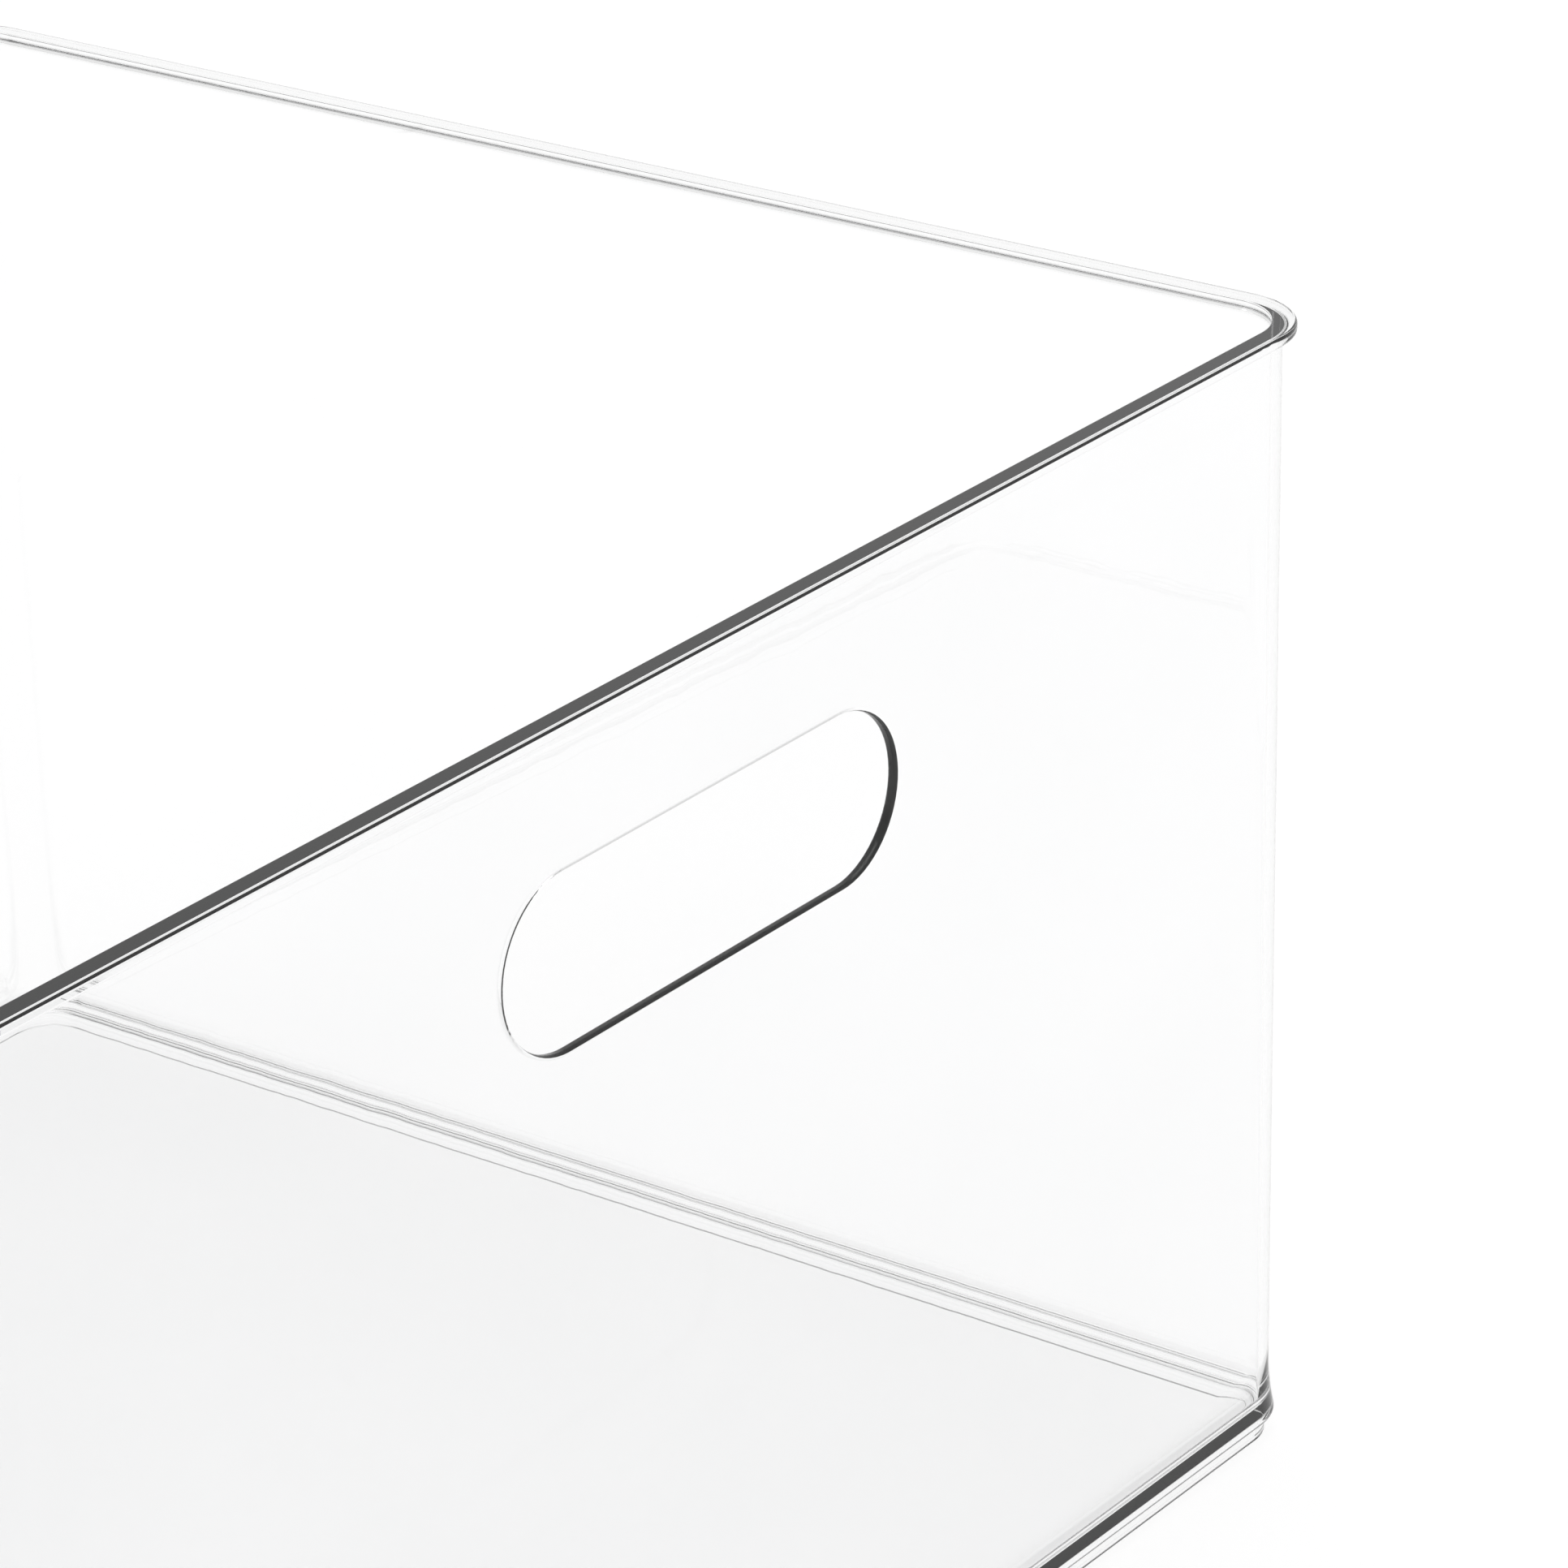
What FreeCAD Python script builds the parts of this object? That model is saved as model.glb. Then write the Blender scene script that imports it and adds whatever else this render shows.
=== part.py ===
import FreeCAD, Part
import math
import os
import Sketcher

# A clear storage bin moulded in one shot.  Four drafted walls stand under a flat outward
# rim flange; the floor meets them in a rounded inside edge; the walls flare out a little
# at the foot and end in a rounded shoulder, with a thin foot ring below it; the front and
# back walls each have a hand slot.  Frame: origin on the resting plane below the middle of
# the bin, +Z up, X along the slotted walls, Y from the front wall to the back wall.

SIZES = {
    "rim_width": 319.0,        # X, between the outer wall faces at rim height
    "rim_depth": 294.0,        # Y, between the outer wall faces at rim height
    "total_height": 200.0,
    "corner_round": 12.8,      # upright outer corners at rim height
    "wall_thick": 1.8,
    "draft_angle": 0.95,       # degrees; every wall leans in towards the floor
    "flange_reach": 2.3,       # rim flange beyond the outer wall face
    "flange_thick": 1.85,
    "flange_round": 0.6,
    "junction_round": 1.2,     # between the flange's underside and the wall
    "lip_round": 0.25,         # inner edge of the rim
    "floor_thick": 1.8,
    "floor_under": 3.7,        # underside of the floor above the resting plane
    "floor_toe": 4.0,          # floor moulded with the wall before the flat slab starts
    "inside_round": 2.7,       # between walls and floor
    "shoulder_height": 3.35,   # underside of the shoulder above the resting plane
    "shoulder_round": 1.3,
    "flare_reach": 1.3,        # how far the shoulder stands out from the drafted wall
    "flare_height": 13.0,
    "foot_inset": 1.9,         # foot ring behind the shoulder's edge
    "foot_thick": 1.8,
    "foot_round": 0.6,
    "slot_length": 92.4,
    "slot_height": 27.6,
    "slot_middle": 162.3,      # height of the hand slots' centre line
    "slot_round": 0.7,
}

# Corners of the wall section in order round it; each starts the edge of the same number.
(RIM_INSIDE, RIM_OUTSIDE, FLANGE_UNDER, WALL_TOP, FLARE_TOP, SHOULDER, FOOT_TOP,
 FOOT_OUTSIDE, FOOT_INSIDE, FLOOR_UNDER, TOE_UNDER, TOE_TOP, INSIDE_CORNER) = range(13)
WALL_AT_RIM, WALL_AT_SHOULDER = 13, 14
START, END, CENTRE = 1, 2, 3
ORIGIN, LEVEL_AXIS, UPRIGHT_AXIS = -1, -1, -2


def add_dimensions(document):
    """Write the driving dimensions into a sheet, one alias to a row."""
    sheet = document.addObject("Spreadsheet::Sheet", "Dimensions")
    for row, (alias, value) in enumerate(SIZES.items(), start=1):
        sheet.set(f"A{row}", alias)
        sheet.set(f"B{row}", str(value))
        sheet.setAlias(f"B{row}", alias)
    document.recompute()


def add_sketch(body, name, role):
    """A new sketch on the body's own origin plane with this role."""
    sketch = body.newObject("Sketcher::SketchObject", name)
    plane = next(item for item in body.Origin.OriginFeatures if item.Role == role)
    sketch.AttachmentSupport = (plane, [""])
    sketch.MapMode = "FlatFace"
    return sketch


def relate(sketch, kind, *where):
    """Add a geometric constraint."""
    sketch.addConstraint(Sketcher.Constraint(kind, *where))


def dimension(sketch, expression, kind, *where):
    """Add a dimension to the sketch and bind it to an expression on the sheet."""
    index = sketch.addConstraint(Sketcher.Constraint(kind, *where))
    sketch.setExpression(f"Constraints[{index}]", expression)
    return index


def join(sketch, kind, edges):
    """Join each edge's end to the next one's start, by a corner or a tangent."""
    for edge, following in zip(edges, edges[1:]):
        relate(sketch, kind, edge, END, following, START)


def draw_rounded_rectangle(sketch, half_x, half_y, radius, inset):
    """A rounded rectangle this far inside the wall outline at the rim, from the middle of +X."""
    along_x = half_x - radius
    along_y = half_y - radius
    straights = {
        0: ((half_x, 0), (half_x, along_y)),
        2: ((along_x, half_y), (-along_x, half_y)),
        4: ((-half_x, along_y), (-half_x, -along_y)),
        6: ((-along_x, -half_y), (along_x, -half_y)),
        8: ((half_x, -along_y), (half_x, 0)),
    }
    corners = {1: (1, 1), 3: (-1, 1), 5: (-1, -1), 7: (1, -1)}
    for index in range(9):
        if index in straights:
            ends = [FreeCAD.Vector(*place, 0) for place in straights[index]]
            sketch.addGeometry(Part.LineSegment(*ends), False)
        else:
            side_x, side_y = corners[index]
            centre = FreeCAD.Vector(side_x * along_x, side_y * along_y, 0)
            circle = Part.Circle(centre, FreeCAD.Vector(0, 0, 1), radius)
            turn = (index - 1) * math.pi / 4
            sketch.addGeometry(Part.ArcOfCircle(circle, turn, turn + math.pi / 2), False)
    join(sketch, "Tangent", list(range(9)))
    join(sketch, "Coincident", [8, 0])
    relate(sketch, "PointOnObject", 0, START, LEVEL_AXIS)
    for upright in (0, 4, 8):
        relate(sketch, "Vertical", upright)
    for level in (2, 6):
        relate(sketch, "Horizontal", level)
    for arc in (3, 5, 7):
        relate(sketch, "Equal", 1, arc)
    across = f"Dimensions.rim_width / 2 - {inset}"
    along = f"Dimensions.rim_depth / 2 - {inset}"
    dimension(sketch, f"Dimensions.corner_round - {inset}", "Radius", 1, radius)
    dimension(sketch, across, "DistanceX", ORIGIN, START, 0, START, half_x)
    dimension(sketch, across, "DistanceX", 4, START, ORIGIN, START, half_x)
    dimension(sketch, along, "DistanceY", ORIGIN, START, 2, START, half_y)
    dimension(sketch, along, "DistanceY", 6, START, ORIGIN, START, half_y)


def draw_wall_section(sketch):
    """The closed section of the +X wall: rim flange, wall, flare, foot ring and floor toe."""
    size = SIZES
    top = size["total_height"]
    slope = math.tan(math.radians(size["draft_angle"]))
    floor_top = size["floor_under"] + size["floor_thick"]
    flare_top = size["shoulder_height"] + size["flare_height"]
    flange_under = top - size["flange_thick"]
    shoulder_wall = size["rim_width"] / 2 - slope * (top - size["shoulder_height"])
    shoulder = shoulder_wall + size["flare_reach"]
    foot_outside = shoulder - size["foot_inset"]
    foot_inside = foot_outside - size["foot_thick"]
    rim = size["rim_width"] / 2
    corners = {
        RIM_INSIDE: (rim - size["wall_thick"], top),
        RIM_OUTSIDE: (rim + size["flange_reach"], top),
        FLANGE_UNDER: (rim + size["flange_reach"], flange_under),
        WALL_TOP: (rim - slope * size["flange_thick"], flange_under),
        FLARE_TOP: (rim - slope * (top - flare_top), flare_top),
        SHOULDER: (shoulder, size["shoulder_height"]),
        FOOT_TOP: (foot_outside, size["shoulder_height"]),
        FOOT_OUTSIDE: (foot_outside, 0.0),
        FOOT_INSIDE: (foot_inside, 0.0),
        FLOOR_UNDER: (foot_inside, size["floor_under"]),
        TOE_UNDER: (foot_inside - size["floor_toe"], size["floor_under"]),
        TOE_TOP: (foot_inside - size["floor_toe"], floor_top),
        INSIDE_CORNER: (rim - size["wall_thick"] - slope * (top - floor_top), floor_top),
    }
    points = [FreeCAD.Vector(*corners[index], 0) for index in range(len(corners))]
    for index, (start, end) in enumerate(zip(points, points[1:] + points[:1])):
        if index == FLARE_TOP:
            hollow = (start + end) / 2 - FreeCAD.Vector(size["flare_reach"] / 4, 0, 0)
            sketch.addGeometry(Part.Arc(start, hollow, end), False)
        else:
            sketch.addGeometry(Part.LineSegment(start, end), False)
    sketch.addGeometry(Part.Point(FreeCAD.Vector(rim, top, 0)), True)
    sketch.addGeometry(Part.Point(FreeCAD.Vector(shoulder_wall, size["shoulder_height"], 0)), True)

    join(sketch, "Coincident", list(range(RIM_INSIDE, FLARE_TOP)))
    join(sketch, "Tangent", [WALL_TOP, FLARE_TOP])
    join(sketch, "Coincident", list(range(FLARE_TOP, len(corners))) + [RIM_INSIDE])
    for level in (RIM_INSIDE, FLANGE_UNDER, SHOULDER, FLOOR_UNDER, TOE_TOP):
        relate(sketch, "Horizontal", level)
    for upright in (RIM_OUTSIDE, FOOT_TOP, FOOT_INSIDE, TOE_UNDER):
        relate(sketch, "Vertical", upright)
    for end in (START, END):
        relate(sketch, "PointOnObject", FOOT_OUTSIDE, end, LEVEL_AXIS)
    relate(sketch, "Parallel", WALL_TOP, INSIDE_CORNER)
    for point, level in ((WALL_AT_RIM, RIM_INSIDE), (WALL_AT_SHOULDER, SHOULDER)):
        relate(sketch, "PointOnObject", point, START, WALL_TOP)
        relate(sketch, "PointOnObject", point, START, level)

    widths = [
        (ORIGIN, WALL_AT_RIM, "rim_width / 2", rim),
        (RIM_INSIDE, WALL_AT_RIM, "wall_thick", size["wall_thick"]),
        (WALL_AT_RIM, RIM_OUTSIDE, "flange_reach", size["flange_reach"]),
        (WALL_AT_SHOULDER, SHOULDER, "flare_reach", size["flare_reach"]),
        (FOOT_TOP, SHOULDER, "foot_inset", size["foot_inset"]),
        (FOOT_INSIDE, FOOT_OUTSIDE, "foot_thick", size["foot_thick"]),
        (TOE_UNDER, FLOOR_UNDER, "floor_toe", size["floor_toe"]),
    ]
    heights = [
        (ORIGIN, RIM_INSIDE, "total_height", top),
        (FLANGE_UNDER, RIM_OUTSIDE, "flange_thick", size["flange_thick"]),
        (SHOULDER, FLARE_TOP, "flare_height", size["flare_height"]),
        (FOOT_OUTSIDE, FOOT_TOP, "shoulder_height", size["shoulder_height"]),
        (FOOT_INSIDE, FLOOR_UNDER, "floor_under", size["floor_under"]),
        (TOE_UNDER, TOE_TOP, "floor_thick", size["floor_thick"]),
    ]
    for kind, spans in (("DistanceX", widths), ("DistanceY", heights)):
        for first, second, alias, value in spans:
            dimension(sketch, f"Dimensions.{alias}", kind, first, START, second, START, value)
    dimension(sketch, "Dimensions.draft_angle * 1deg", "Angle", WALL_TOP, END, UPRIGHT_AXIS, START,
              math.radians(size["draft_angle"]))


def draw_slot(sketch):
    """A stadium lying along the wall, centred at the hand slots' height."""
    radius = SIZES["slot_height"] / 2
    reach = SIZES["slot_length"] / 2 - radius
    middle = SIZES["slot_middle"]
    for index, side in enumerate((1, -1)):
        centre = FreeCAD.Vector(side * reach, middle, 0)
        circle = Part.Circle(centre, FreeCAD.Vector(0, 0, 1), radius)
        turn = index * math.pi - math.pi / 2
        sketch.addGeometry(Part.ArcOfCircle(circle, turn, turn + math.pi), False)
        ends = [FreeCAD.Vector(way * reach, middle + side * radius, 0) for way in (side, -side)]
        sketch.addGeometry(Part.LineSegment(*ends), False)
    join(sketch, "Tangent", [0, 1, 2, 3, 0])
    relate(sketch, "Equal", 0, 2)
    relate(sketch, "Symmetric", 0, CENTRE, 2, CENTRE, UPRIGHT_AXIS)
    dimension(sketch, "Dimensions.slot_height / 2", "Radius", 0, radius)
    dimension(sketch, "(Dimensions.slot_length - Dimensions.slot_height) / 2", "DistanceX",
              ORIGIN, START, 0, CENTRE, reach)
    dimension(sketch, "Dimensions.slot_middle", "DistanceY", ORIGIN, START, 0, CENTRE, middle)


def round_ring(body, name, alias, corner):
    """Round the edge that this corner of the wall section makes all the way round the bin."""
    target = Part.Vertex(corner.x, SIZES["corner_round"], corner.y)
    distances = [edge.distToShape(target)[0] for edge in body.Tip.Shape.Edges]
    nearest = distances.index(min(distances)) + 1
    add_fillet(body, name, alias, [f"Edge{nearest}"])


def add_fillet(body, name, alias, edges):
    """Round these edges of the body's last feature."""
    base = body.Tip
    fillet = body.newObject("PartDesign::Fillet", name)
    fillet.Base = (base, edges)
    fillet.setExpression("Radius", f"Dimensions.{alias}")
    body.Tip = fillet
    body.Document.recompute()


def slot_edges(shape):
    """Names of the edges where the hand slots break through the wall faces."""
    margin = SIZES["slot_round"]
    names = []
    for index, edge in enumerate(shape.Edges, start=1):
        box = edge.BoundBox
        beside = max(abs(box.XMin), abs(box.XMax)) < SIZES["slot_length"] / 2 + margin
        level = abs(box.Center.z - SIZES["slot_middle"]) < SIZES["slot_height"] / 2 + margin
        through_wall = box.YLength > SIZES["wall_thick"] / 2
        if beside and level and not through_wall:
            names.append(f"Edge{index}")
    return names


def build_bin(document):
    """The whole bin as one body."""
    half_x = SIZES["rim_width"] / 2
    half_y = SIZES["rim_depth"] / 2
    body = document.addObject("PartDesign::Body", "BinBody")
    body.Label = "bin_body"
    body.Placement = FreeCAD.Placement()

    rim_line = add_sketch(body, "RimLine", "XY_Plane")
    draw_rounded_rectangle(rim_line, half_x, half_y, SIZES["corner_round"], "0")
    section = add_sketch(body, "WallSection", "XZ_Plane")
    draw_wall_section(section)
    toe_inset = section.addConstraint(Sketcher.Constraint(
        "DistanceX", TOE_UNDER, START, WALL_AT_RIM, START, SIZES["floor_toe"]))
    section.setDriving(toe_inset, False)
    section.renameConstraint(toe_inset, "toe_inset")
    document.recompute()
    corners = [section.getPoint(index, START) for index in range(INSIDE_CORNER + 1)]

    walls = body.newObject("PartDesign::AdditivePipe", "Walls")
    walls.Profile = section
    walls.Spine = (rim_line, [f"Edge{number}" for number in range(1, rim_line.GeometryCount + 1)])
    body.Tip = walls
    document.recompute()

    outline = add_sketch(body, "FloorOutline", "XY_Plane")
    outline.setExpression("AttachmentOffset.Base.z", "Dimensions.floor_under")
    inset = half_x - corners[TOE_UNDER].x - SIZES["floor_toe"] / 2
    draw_rounded_rectangle(outline, half_x - inset, half_y - inset, SIZES["corner_round"] - inset,
                           "(WallSection.Constraints.toe_inset / 1mm - Dimensions.floor_toe / 2)")
    floor = body.newObject("PartDesign::Pad", "Floor")
    floor.Profile = outline
    floor.setExpression("Length", "Dimensions.floor_thick")
    body.Tip = floor
    document.recompute()

    rounds = [
        ("InsideRound", "inside_round", INSIDE_CORNER),
        ("ShoulderRound", "shoulder_round", SHOULDER),
        ("FootRound", "foot_round", FOOT_OUTSIDE),
        ("FootInsideRound", "foot_round", FOOT_INSIDE),
        ("RimRound", "flange_round", RIM_OUTSIDE),
        ("FlangeUnderRound", "flange_round", FLANGE_UNDER),
        ("JunctionRound", "junction_round", WALL_TOP),
        ("LipRound", "lip_round", RIM_INSIDE),
    ]
    for name, alias, corner in rounds:
        round_ring(body, name, alias, corners[corner])

    slot_outline = add_sketch(body, "SlotOutline", "XZ_Plane")
    draw_slot(slot_outline)
    before = body.Shape.Volume
    slots = body.newObject("PartDesign::Pocket", "HandSlots")
    slots.Profile = slot_outline
    slots.Type = "ThroughAll"
    slots.SideType = "Symmetric"
    body.Tip = slots
    document.recompute()
    opening = Part.Face(Part.Wire(slot_outline.Shape.Edges)).Area
    removed = before - body.Shape.Volume
    if removed < 2 * opening * SIZES["wall_thick"] * 0.99:
        raise RuntimeError(f"the hand slots cut only {removed:.0f} cubic mm")
    add_fillet(body, "SlotRound", "slot_round", slot_edges(body.Shape))
    return body


def check(document, body):
    """Stop if any object of the document failed to build or the body isn't one valid solid."""
    for item in document.Objects:
        if "Invalid" in item.State or "Error" in item.State:
            raise RuntimeError(f"{item.Name} failed: {item.State}")
        if item.isDerivedFrom("PartDesign::Feature") and item.Shape.isNull():
            raise RuntimeError(f"{item.Name} is empty")
    if body.Shape.isNull() or not body.Shape.isValid() or len(body.Shape.Solids) != 1:
        raise RuntimeError("the bin isn't one valid solid")


document = FreeCAD.newDocument("FridgeBin")
add_dimensions(document)
bin_body = build_bin(document)
document.recompute()
check(document, bin_body)
os.makedirs("parts", exist_ok=True)
bin_body.Shape.exportStep(f"parts/{bin_body.Label}.step")
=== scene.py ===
import math

import bpy
import numpy as np
from mathutils import Matrix, Vector


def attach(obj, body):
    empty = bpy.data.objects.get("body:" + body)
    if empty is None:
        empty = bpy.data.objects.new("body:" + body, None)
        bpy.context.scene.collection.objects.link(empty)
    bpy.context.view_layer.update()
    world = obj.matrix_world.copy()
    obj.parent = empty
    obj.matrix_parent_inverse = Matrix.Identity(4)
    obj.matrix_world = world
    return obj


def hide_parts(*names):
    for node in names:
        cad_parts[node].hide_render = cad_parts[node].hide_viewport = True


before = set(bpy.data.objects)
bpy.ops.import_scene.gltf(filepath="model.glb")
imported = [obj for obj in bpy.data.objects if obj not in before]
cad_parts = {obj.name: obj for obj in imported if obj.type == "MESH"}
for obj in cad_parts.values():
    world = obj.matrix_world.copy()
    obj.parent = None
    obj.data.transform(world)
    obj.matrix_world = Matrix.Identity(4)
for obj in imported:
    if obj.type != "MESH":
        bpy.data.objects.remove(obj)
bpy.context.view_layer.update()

MM = 0.001

# The bin's own measures, in millimetres, as its CAD has them.
RIM_X, RIM_Y = 159.5, 147.0
HEIGHT = 200.0
CORNER = 12.8
WALL = 1.8
SLOPE = math.tan(math.radians(0.95))
FLANGE_REACH, FLANGE_THICK = 2.3, 1.85
FLANGE_UNDER = HEIGHT - FLANGE_THICK
FLOOR_UNDER, FLOOR_TOP = 3.7, 5.5
SHOULDER_Z = 3.35
FLARE_REACH, FLARE_HEIGHT = 1.3, 13.0
FOOT_INSET, FOOT_THICK = 1.9, 1.8
TOE = 4.0
FOOT_ROUND, FOOT_INSIDE_ROUND, FOOT_TOP_ROUND = 0.6, 0.25, 0.2
SHOULDER_ROUND, FLARE_ROUND, INSIDE_ROUND = 1.3, 50.0, 2.7
JUNCTION_ROUND, RIM_ROUND, LIP_ROUND = 1.2, 0.6, 0.25
SLOT_HALF, SLOT_RADIUS, SLOT_Z, SLOT_ROUND = 46.2, 13.8, 162.3, 0.7

# How finely the mesh is cut.
CORNER_STEPS = 24
SIDE_STEPS = 20
BESIDE_STEPS = 5
PANEL_STEPS = 10
FAN_STEPS = 8
ROUND_STEPS = 10
PANEL_MARGIN = 8.5          # flat wall between the slot and its panel's border
BESIDE_SLOT = (4.0, 2.0, 0.8)    # rings round the slot's rounded edge, outermost first
LOWER_ROWS = [24, 36, 52, 72, 92, 112, 128]
UPPER_ROW = 189


# ---------------------------------------------------------------- the wall section

def rounded_section(corners):
    """Points and outward normals along an open outline whose corners are rounded.

    corners: (offset, height, radius, steps), travelled with the material on the left.
    """
    points, normals = [], []
    last = len(corners) - 1
    for index, (x, z, radius, steps) in enumerate(corners):
        here = Vector((x, z))
        if index in (0, last):
            other = Vector(corners[1 if index == 0 else last - 1][:2])
            run = (other - here if index == 0 else here - other).normalized()
            points.append(here)
            normals.append(Vector((run.y, -run.x)))
            continue
        before = (here - Vector(corners[index - 1][:2])).normalized()
        after = (Vector(corners[index + 1][:2]) - here).normalized()
        turn = math.atan2(before.x * after.y - before.y * after.x, before.dot(after))
        reach = radius * math.tan(abs(turn) / 2)
        side = 1 if turn > 0 else -1
        start = here - before * reach
        centre = start + Vector((-before.y, before.x)) * radius * side
        spoke = start - centre
        for step in range(steps + 1):
            arm = Matrix.Rotation(turn * step / steps, 2) @ spoke
            points.append(centre + arm)
            normals.append(arm.normalized() * side)
    return points, normals


def at_wall(height):
    """How far the outer wall face stands out from its place at the rim."""
    return -SLOPE * (HEIGHT - height)


shoulder = at_wall(SHOULDER_Z) + FLARE_REACH
knee_z = SHOULDER_Z + FLARE_HEIGHT / 2
foot_out = shoulder - FOOT_INSET
foot_in = foot_out - FOOT_THICK
floor_edge = foot_in - TOE
inner_foot = at_wall(FLOOR_TOP) - WALL

# (offset, height, radius, steps) from the floor's underside, round the foot and up the outside,
# over the rim and down the inside to the floor's top.
OUTLINE = [
    (floor_edge, FLOOR_UNDER, 0, 1),
    (foot_in, FLOOR_UNDER, FOOT_INSIDE_ROUND, 3),
    (foot_in, 0, FOOT_ROUND, 6),
    (foot_out, 0, FOOT_ROUND, 6),
    (foot_out, SHOULDER_Z, FOOT_TOP_ROUND, 3),
    (shoulder, SHOULDER_Z, SHOULDER_ROUND, 10),
    (at_wall(knee_z), knee_z, FLARE_ROUND, 12),
    (at_wall(FLANGE_UNDER), FLANGE_UNDER, JUNCTION_ROUND, 8),
    (FLANGE_REACH, FLANGE_UNDER, RIM_ROUND, 6),
    (FLANGE_REACH, HEIGHT, RIM_ROUND, 6),
    (-WALL, HEIGHT, LIP_ROUND, 5),
    (inner_foot, FLOOR_TOP, INSIDE_ROUND, 12),
    (floor_edge, FLOOR_TOP, 0, 1),
]

# The flat part of each slotted wall round its slot is a panel of its own, square at its ends.
panel_half_z = SLOT_RADIUS + PANEL_MARGIN
straight = SLOT_HALF - SLOT_RADIUS
panel_half_x = straight + panel_half_z
fan = [panel_half_z * math.tan(math.pi / 4 * step / FAN_STEPS) for step in range(FAN_STEPS + 1)]
panel_z = [SLOT_Z - reach for reach in reversed(fan[1:])] + [SLOT_Z + reach for reach in fan]
row_z = LOWER_ROWS + panel_z + [UPPER_ROW]

section, section_normals = rounded_section(OUTLINE)


def with_rows(points, normals):
    """The section with rows added on its two long wall faces, and each row's skin or None."""
    out_points, out_normals, skins = [points[0]], [normals[0]], [None]
    for index in range(1, len(points)):
        a, b = points[index - 1], points[index]
        if abs(b.y - a.y) > HEIGHT / 2:
            rows = [z for z in row_z if min(a.y, b.y) < z < max(a.y, b.y)]
            rows = rows if b.y > a.y else rows[::-1]
            for z in rows:
                out_points.append(a.lerp(b, (z - a.y) / (b.y - a.y)))
                out_normals.append(normals[index])
                skins.append(("outer" if b.y > a.y else "inner", z))
        out_points.append(b)
        out_normals.append(normals[index])
        skins.append(None)
    return out_points, out_normals, skins


section, section_normals, row_skins = with_rows(section, section_normals)


# ---------------------------------------------------------------- the rim line

def spread(first, last, steps):
    return [first + (last - first) * step / steps for step in range(steps)]


def rim_line():
    """Points round the rim outline with the way out from each, and where its panels lie."""
    along_x, along_y = RIM_X - CORNER, RIM_Y - CORNER
    half = spread(0, straight, PANEL_STEPS // 2) + [straight + reach for reach in fan[:-1]]
    half += spread(panel_half_x, along_x, BESIDE_STEPS) + [along_x]
    stations = [-x for x in reversed(half[1:])] + half
    sides = [
        ((0, -1), [(x, -RIM_Y) for x in stations]),
        ((1, 0), [(RIM_X, y) for y in spread(-along_y, along_y, SIDE_STEPS) + [along_y]]),
        ((0, 1), [(-x, RIM_Y) for x in stations]),
        ((-1, 0), [(-RIM_X, -y) for y in spread(-along_y, along_y, SIDE_STEPS) + [along_y]]),
    ]
    centres = [(along_x, -along_y), (along_x, along_y), (-along_x, along_y), (-along_x, -along_y)]
    base, ways, starts = [], [], []
    for number, ((way, places), centre) in enumerate(zip(sides, centres)):
        starts.append(len(base))
        for place in places:
            base.append(place)
            ways.append(way)
        for step in range(1, CORNER_STEPS):
            angle = (number - 1) * math.pi / 2 + math.pi / 2 * step / CORNER_STEPS
            away = (math.cos(angle), math.sin(angle))
            base.append((centre[0] + CORNER * away[0], centre[1] + CORNER * away[1]))
            ways.append(away)
    return np.array(base), np.array(ways), starts, len(stations)


base, ways, side_starts, station_count = rim_line()
around = len(base)
panel_first = BESIDE_STEPS
panel_last = station_count - 1 - BESIDE_STEPS
rows = len(section)

verts, norms, faces = [], [], []


def add_vertex(place, normal):
    verts.append(place)
    norms.append(normal)
    return len(verts) - 1


ring = np.empty((rows, around), dtype=int)
for row in range(rows):
    for step in range(around):
        xy = base[step] + ways[step] * section[row].x
        out = section_normals[row]
        normal = (ways[step][0] * out.x, ways[step][1] * out.x, out.y)
        ring[row, step] = add_vertex((xy[0], xy[1], section[row].y), normal)


def in_panel(row, step):
    """True if the cell from this row and step lies in one of the slotted walls' panels."""
    if row_skins[row] is None or row_skins[row + 1] is None:
        return False
    levels = (row_skins[row][1], row_skins[row + 1][1])
    level = min(levels) >= panel_z[0] - 1e-6 and max(levels) <= panel_z[-1] + 1e-6
    starts = (side_starts[0], side_starts[2])
    beside = any(start + panel_first <= step < start + panel_last for start in starts)
    return level and beside


for row in range(rows - 1):
    for step in range(around):
        if not in_panel(row, step):
            after = (step + 1) % around
            faces.append((ring[row, step], ring[row, after], ring[row + 1, after],
                          ring[row + 1, step]))


# ---------------------------------------------------------------- the floor's flat faces

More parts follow.
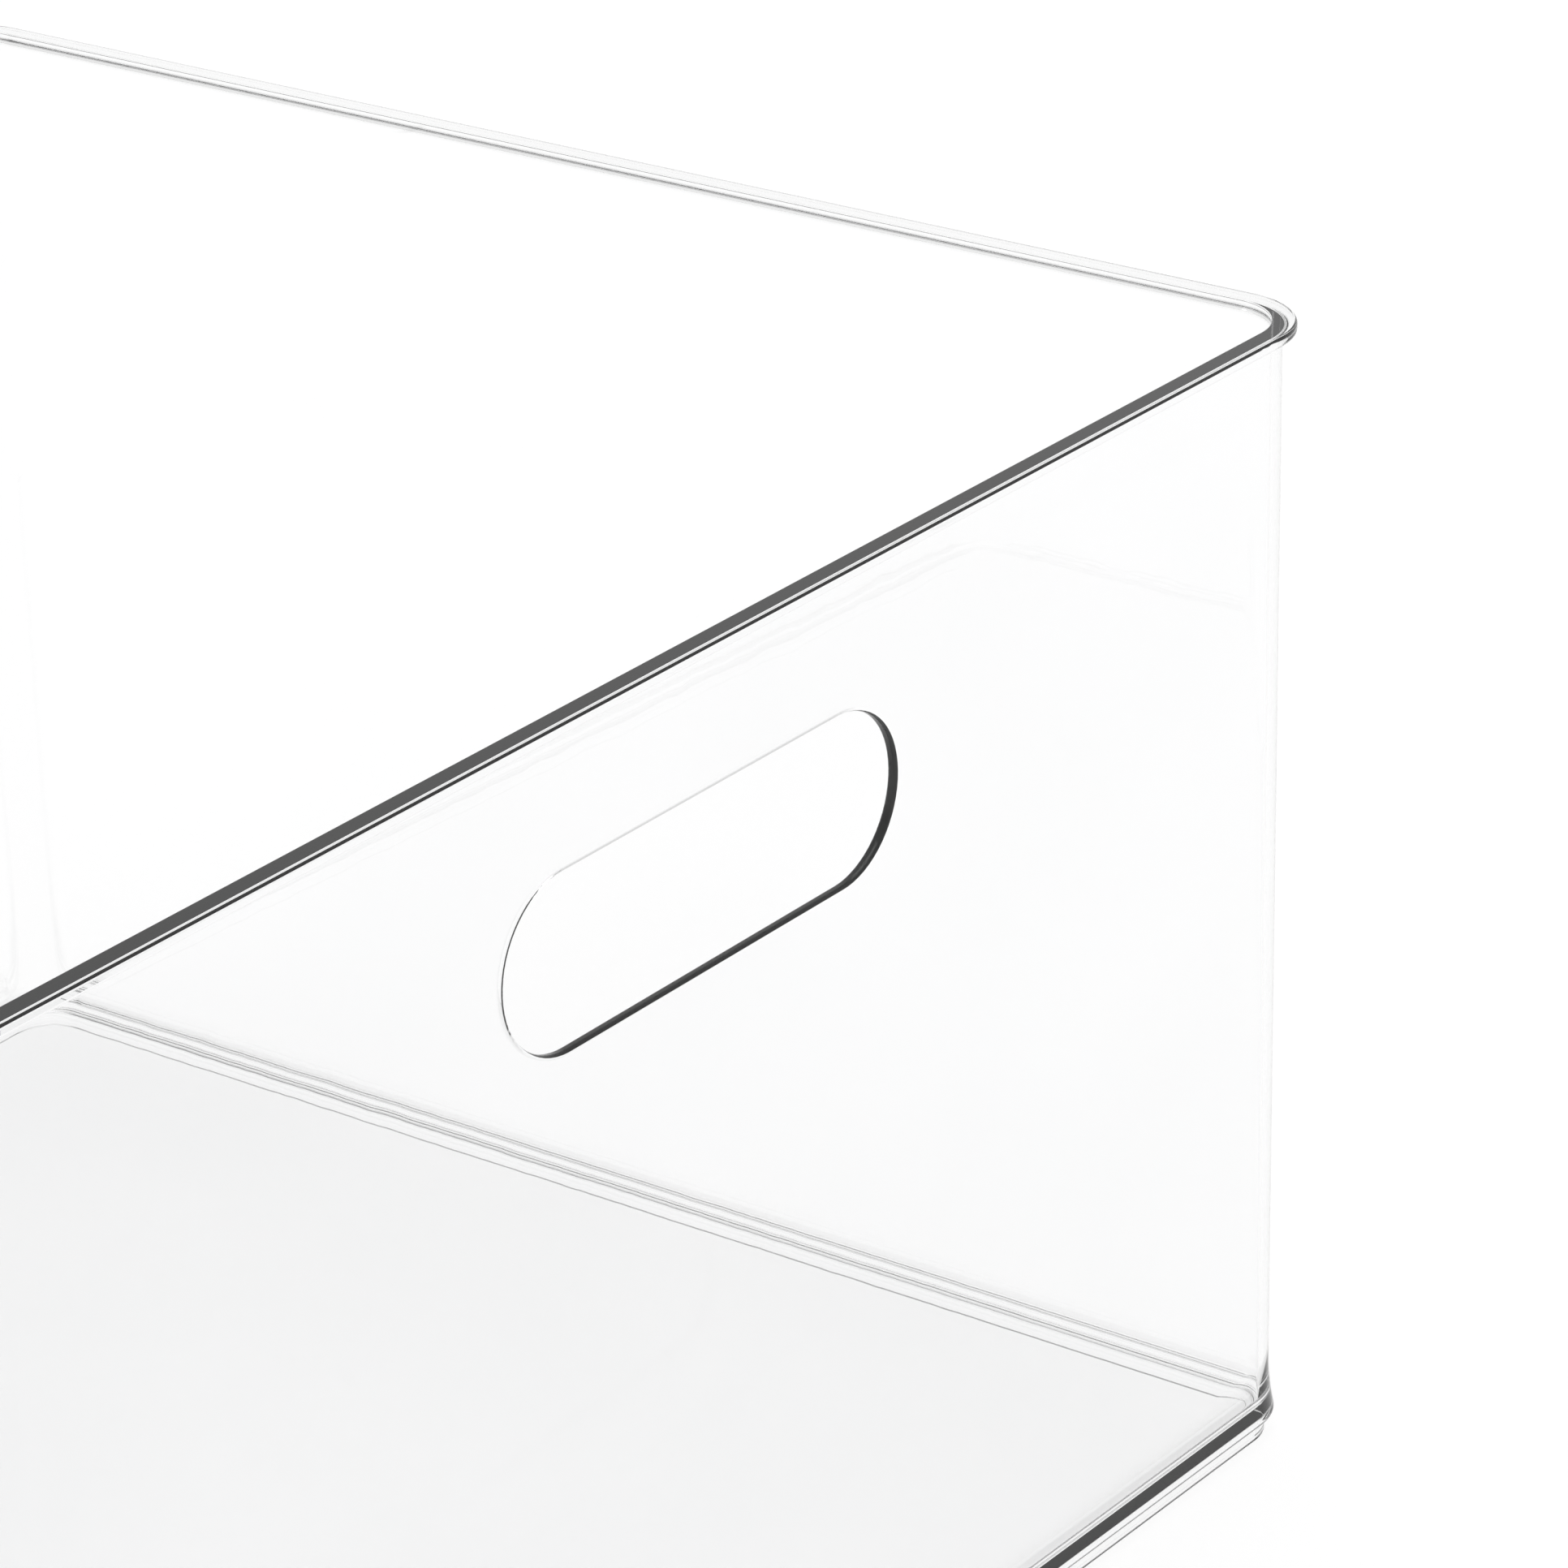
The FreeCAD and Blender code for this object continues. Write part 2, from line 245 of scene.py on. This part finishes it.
def fill_floor(loop, up):
    """Fill a closed ring of the floor with a grid whose corners are the ring's corner middles."""
    half = CORNER_STEPS // 2
    turned = np.roll(loop, -(side_starts[0] - half))
    across = station_count - 1 + CORNER_STEPS
    along = SIDE_STEPS + CORNER_STEPS
    bottom = turned[:across + 1]
    right = turned[across:across + along + 1]
    top = turned[across + along:2 * across + along + 1][::-1]
    left = np.append(turned[2 * across + along:], turned[0])[::-1]
    place = np.array(verts)
    grid = np.empty((along + 1, across + 1), dtype=int)
    grid[0], grid[-1], grid[:, 0], grid[:, -1] = bottom, top, left, right
    for j in range(1, along):
        for i in range(1, across):
            s, t = i / across, j / along
            edges = ((1 - t) * place[bottom[i]] + t * place[top[i]]
                     + (1 - s) * place[left[j]] + s * place[right[j]])
            corners = ((1 - s) * (1 - t) * place[bottom[0]] + s * (1 - t) * place[bottom[-1]]
                       + (1 - s) * t * place[top[0]] + s * t * place[top[-1]])
            grid[j, i] = add_vertex(tuple(edges - corners), (0, 0, 1 if up else -1))
    for j in range(along):
        for i in range(across):
            cell = (grid[j, i], grid[j, i + 1], grid[j + 1, i + 1], grid[j + 1, i])
            faces.append(cell if up else cell[::-1])


fill_floor(ring[0], False)
fill_floor(ring[-1], True)


# ---------------------------------------------------------------- the hand slots

def skin_rows(skin):
    """The section rows of one skin that lie in the panel, lowest first."""
    found = [row for row in range(rows) if row_skins[row] and row_skins[row][0] == skin
             and panel_z[0] - 1e-6 <= row_skins[row][1] <= panel_z[-1] + 1e-6]
    return found if skin == "outer" else found[::-1]


def panel_border(start, skin):
    """Vertices round a panel's border on one skin, anticlockwise seen from outside the wall."""
    levels = skin_rows(skin)
    first, last = start + panel_first, start + panel_last
    border = [ring[levels[0], step] for step in range(first, last)]
    border += [ring[level, last] for level in levels[:-1]]
    border += [ring[levels[-1], step] for step in range(last, first, -1)]
    border += [ring[level, first] for level in reversed(levels[1:])]
    return border


def bridge(inner, outer):
    """Quads between two loops that run the same way, the outer one first."""
    count = len(inner)
    for index in range(count):
        after = (index + 1) % count
        faces.append((outer[index], outer[after], inner[after], inner[index]))


def cut_slot(start, side):
    """Fill the panels of one slotted wall with a slot whose edges are rounded."""
    edge = SLOT_RADIUS + SLOT_ROUND
    loops = {}
    for skin, sign, depth in (("outer", 1, 0), ("inner", -1, WALL)):
        border = panel_border(start, skin)
        face = Vector((0, side * sign, -SLOPE * sign)).normalized()
        rays = []
        for vertex in border:
            x, _, z = verts[vertex]
            middle = min(max(x, -straight), straight)
            rays.append((middle, Vector((x - middle, z - SLOT_Z)).normalized()))
        rings = [(edge + beyond, 0) for beyond in BESIDE_SLOT]
        rings += [(edge - SLOT_ROUND * math.sin(math.pi / 2 * step / ROUND_STEPS),
                   math.pi / 2 * step / ROUND_STEPS) for step in range(ROUND_STEPS + 1)]
        chain = [border]
        for reach, turn in rings:
            sink = SLOT_ROUND * (1 - math.cos(turn))
            loop = []
            for middle, ray in rays:
                x, z = middle + ray.x * reach, SLOT_Z + ray.y * reach
                y = RIM_Y + at_wall(z) - depth - sink * sign
                into_slot = Vector((-ray.x, 0, -ray.y))
                normal = face * math.cos(turn) + into_slot * math.sin(turn)
                loop.append(add_vertex((x, side * y, z), normal.normalized()))
            chain.append(loop)
        for outer, inner in zip(chain, chain[1:]):
            if skin == "outer":
                bridge(inner, outer)
            else:
                bridge(outer, inner)
        loops[skin] = chain[-1]
    bridge(loops["inner"], loops["outer"])


cut_slot(side_starts[0], -1)
cut_slot(side_starts[2], 1)

mesh = bpy.data.meshes.new("bin_shell")
mesh.from_pydata([Vector(place) * MM for place in verts], [], [tuple(map(int, f)) for f in faces])
mesh.validate()
mesh.update()
for polygon in mesh.polygons:
    polygon.use_smooth = True
mesh.normals_split_custom_set_from_vertices([Vector(n).normalized() for n in norms])
bin_shell = bpy.data.objects.new("bin_shell", mesh)
bpy.context.scene.collection.objects.link(bin_shell)
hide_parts("bin_body")
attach(bin_shell, "root")


# ---------------------------------------------------------------- the plastic

CLOUD_DARK, CLOUD_LIGHT = (0.985, 0.986, 0.987, 1), (0.997, 0.997, 0.998, 1)
RIPPLE_HEIGHT = 0.00004
PLASTIC_IOR = 1.57


def clear_plastic():
    """Water-clear moulded plastic: faint flow clouding, a slight ripple and a grey absorption."""
    material = bpy.data.materials.new("clear_plastic_moulded")
    material.use_nodes = True
    nodes, links = material.node_tree.nodes, material.node_tree.links
    shader = nodes["Principled BSDF"]
    output = nodes["Material Output"]
    place = nodes.new("ShaderNodeTexCoord")

    cloud = nodes.new("ShaderNodeTexNoise")
    cloud.inputs["Scale"].default_value = 22.0
    cloud.inputs["Detail"].default_value = 4.0
    cloud.inputs["Roughness"].default_value = 0.45
    links.new(place.outputs["Object"], cloud.inputs["Vector"])
    tint = nodes.new("ShaderNodeValToRGB")
    tint.color_ramp.elements[0].position = 0.3
    tint.color_ramp.elements[0].color = CLOUD_DARK
    tint.color_ramp.elements[1].position = 0.7
    tint.color_ramp.elements[1].color = CLOUD_LIGHT
    links.new(cloud.outputs["Fac"], tint.inputs["Fac"])
    links.new(tint.outputs["Color"], shader.inputs["Base Color"])

    ripple = nodes.new("ShaderNodeTexNoise")
    ripple.inputs["Scale"].default_value = 60.0
    ripple.inputs["Detail"].default_value = 2.0
    links.new(place.outputs["Object"], ripple.inputs["Vector"])
    bump = nodes.new("ShaderNodeBump")
    bump.inputs["Strength"].default_value = 0.25
    bump.inputs["Distance"].default_value = RIPPLE_HEIGHT
    links.new(ripple.outputs["Fac"], bump.inputs["Height"])
    links.new(bump.outputs["Normal"], shader.inputs["Normal"])

    shader.inputs["Roughness"].default_value = 0.0
    shader.inputs["IOR"].default_value = PLASTIC_IOR
    shader.inputs["Transmission Weight"].default_value = 1.0
    absorb = nodes.new("ShaderNodeVolumeAbsorption")
    absorb.inputs["Color"].default_value = (0.5, 0.5, 0.5, 1)
    absorb.inputs["Density"].default_value = 10.0
    links.new(absorb.outputs[0], output.inputs["Volume"])
    return material


mesh.materials.append(clear_plastic())


# ---------------------------------------------------------------- camera, light and floor

scene = bpy.context.scene
scene.view_settings.view_transform = "Standard"


CAMERA_PLACE = (-0.7035, -0.7061, 0.5748)
CAMERA_AZIMUTH, CAMERA_ELEVATION = math.radians(37.77), math.radians(23.87)
CAMERA_ROLL = 0.0359
CAMERA_LENS = 157.75


def look(azimuth, elevation, roll):
    """A camera's turn: it looks along the azimuth, down by the elevation, its right side dipped."""
    turn = Matrix.Rotation(azimuth - math.pi / 2, 3, "Z")
    turn = turn @ Matrix.Rotation(math.pi / 2 - elevation, 3, "X")
    return turn @ Matrix.Rotation(-roll, 3, "Z")


camera_data = bpy.data.cameras.new("camera")
camera_data.sensor_width = 36.0
camera_data.lens = CAMERA_LENS
camera = bpy.data.objects.new("camera", camera_data)
turn = look(CAMERA_AZIMUTH, CAMERA_ELEVATION, CAMERA_ROLL)
camera.matrix_world = Matrix.LocRotScale(Vector(CAMERA_PLACE), turn, None)
scene.collection.objects.link(camera)
scene.camera = camera

world = bpy.data.worlds.new("studio")
scene.world = world
world.use_nodes = True
sky_nodes, sky_links = world.node_tree.nodes, world.node_tree.links
direction = sky_nodes.new("ShaderNodeTexCoord")
split = sky_nodes.new("ShaderNodeSeparateXYZ")
sky = sky_nodes.new("ShaderNodeValToRGB")
sky_links.new(direction.outputs["Generated"], split.inputs[0])
sky_links.new(split.outputs["Z"], sky.inputs["Fac"])
sky_links.new(sky.outputs["Color"], sky_nodes["Background"].inputs["Color"])
# (height of the direction, tone): white at the horizon and overhead, greyer between.
SKY_TONES = ((0.0, 1.0), (0.14, 1.0), (0.42, 0.75), (0.7, 0.8), (1.0, 1.0))
while len(sky.color_ramp.elements) < len(SKY_TONES):
    sky.color_ramp.elements.new(0.5)
for element, (place, tone) in zip(sky.color_ramp.elements, SKY_TONES):
    element.position = place
    element.color = (tone, tone, tone, 1)

FLOOR_REACH = 4.0
FLOOR_TONE, FLOOR_GLOW = 0.15, 0.88    # mostly its own glow, so the floor stays pale under the bin
floor_corners = [(-FLOOR_REACH, -FLOOR_REACH, 0), (FLOOR_REACH, -FLOOR_REACH, 0),
                 (FLOOR_REACH, FLOOR_REACH, 0), (-FLOOR_REACH, FLOOR_REACH, 0)]
floor_mesh = bpy.data.meshes.new("floor")
floor_mesh.from_pydata(floor_corners, [], [(0, 1, 2, 3)])
floor = bpy.data.objects.new("floor", floor_mesh)
scene.collection.objects.link(floor)
floor_material = bpy.data.materials.new("floor_pale")
floor_material.use_nodes = True
floor_shader = floor_material.node_tree.nodes["Principled BSDF"]
floor_shader.inputs["Base Color"].default_value = (FLOOR_TONE, FLOOR_TONE, FLOOR_TONE, 1)
floor_shader.inputs["Roughness"].default_value = 1.0
floor_shader.inputs["Specular IOR Level"].default_value = 0.0
floor_shader.inputs["Emission Color"].default_value = (1, 1, 1, 1)
floor_shader.inputs["Emission Strength"].default_value = FLOOR_GLOW
floor_mesh.materials.append(floor_material)

top_light = bpy.data.lights.new("top_light", "AREA")
top_light.shape = "SQUARE"
top_light.size = 3.0
top_light.energy = 20.0
top_lamp = bpy.data.objects.new("top_light", top_light)
top_lamp.location = (0, 0, 3)
scene.collection.objects.link(top_lamp)
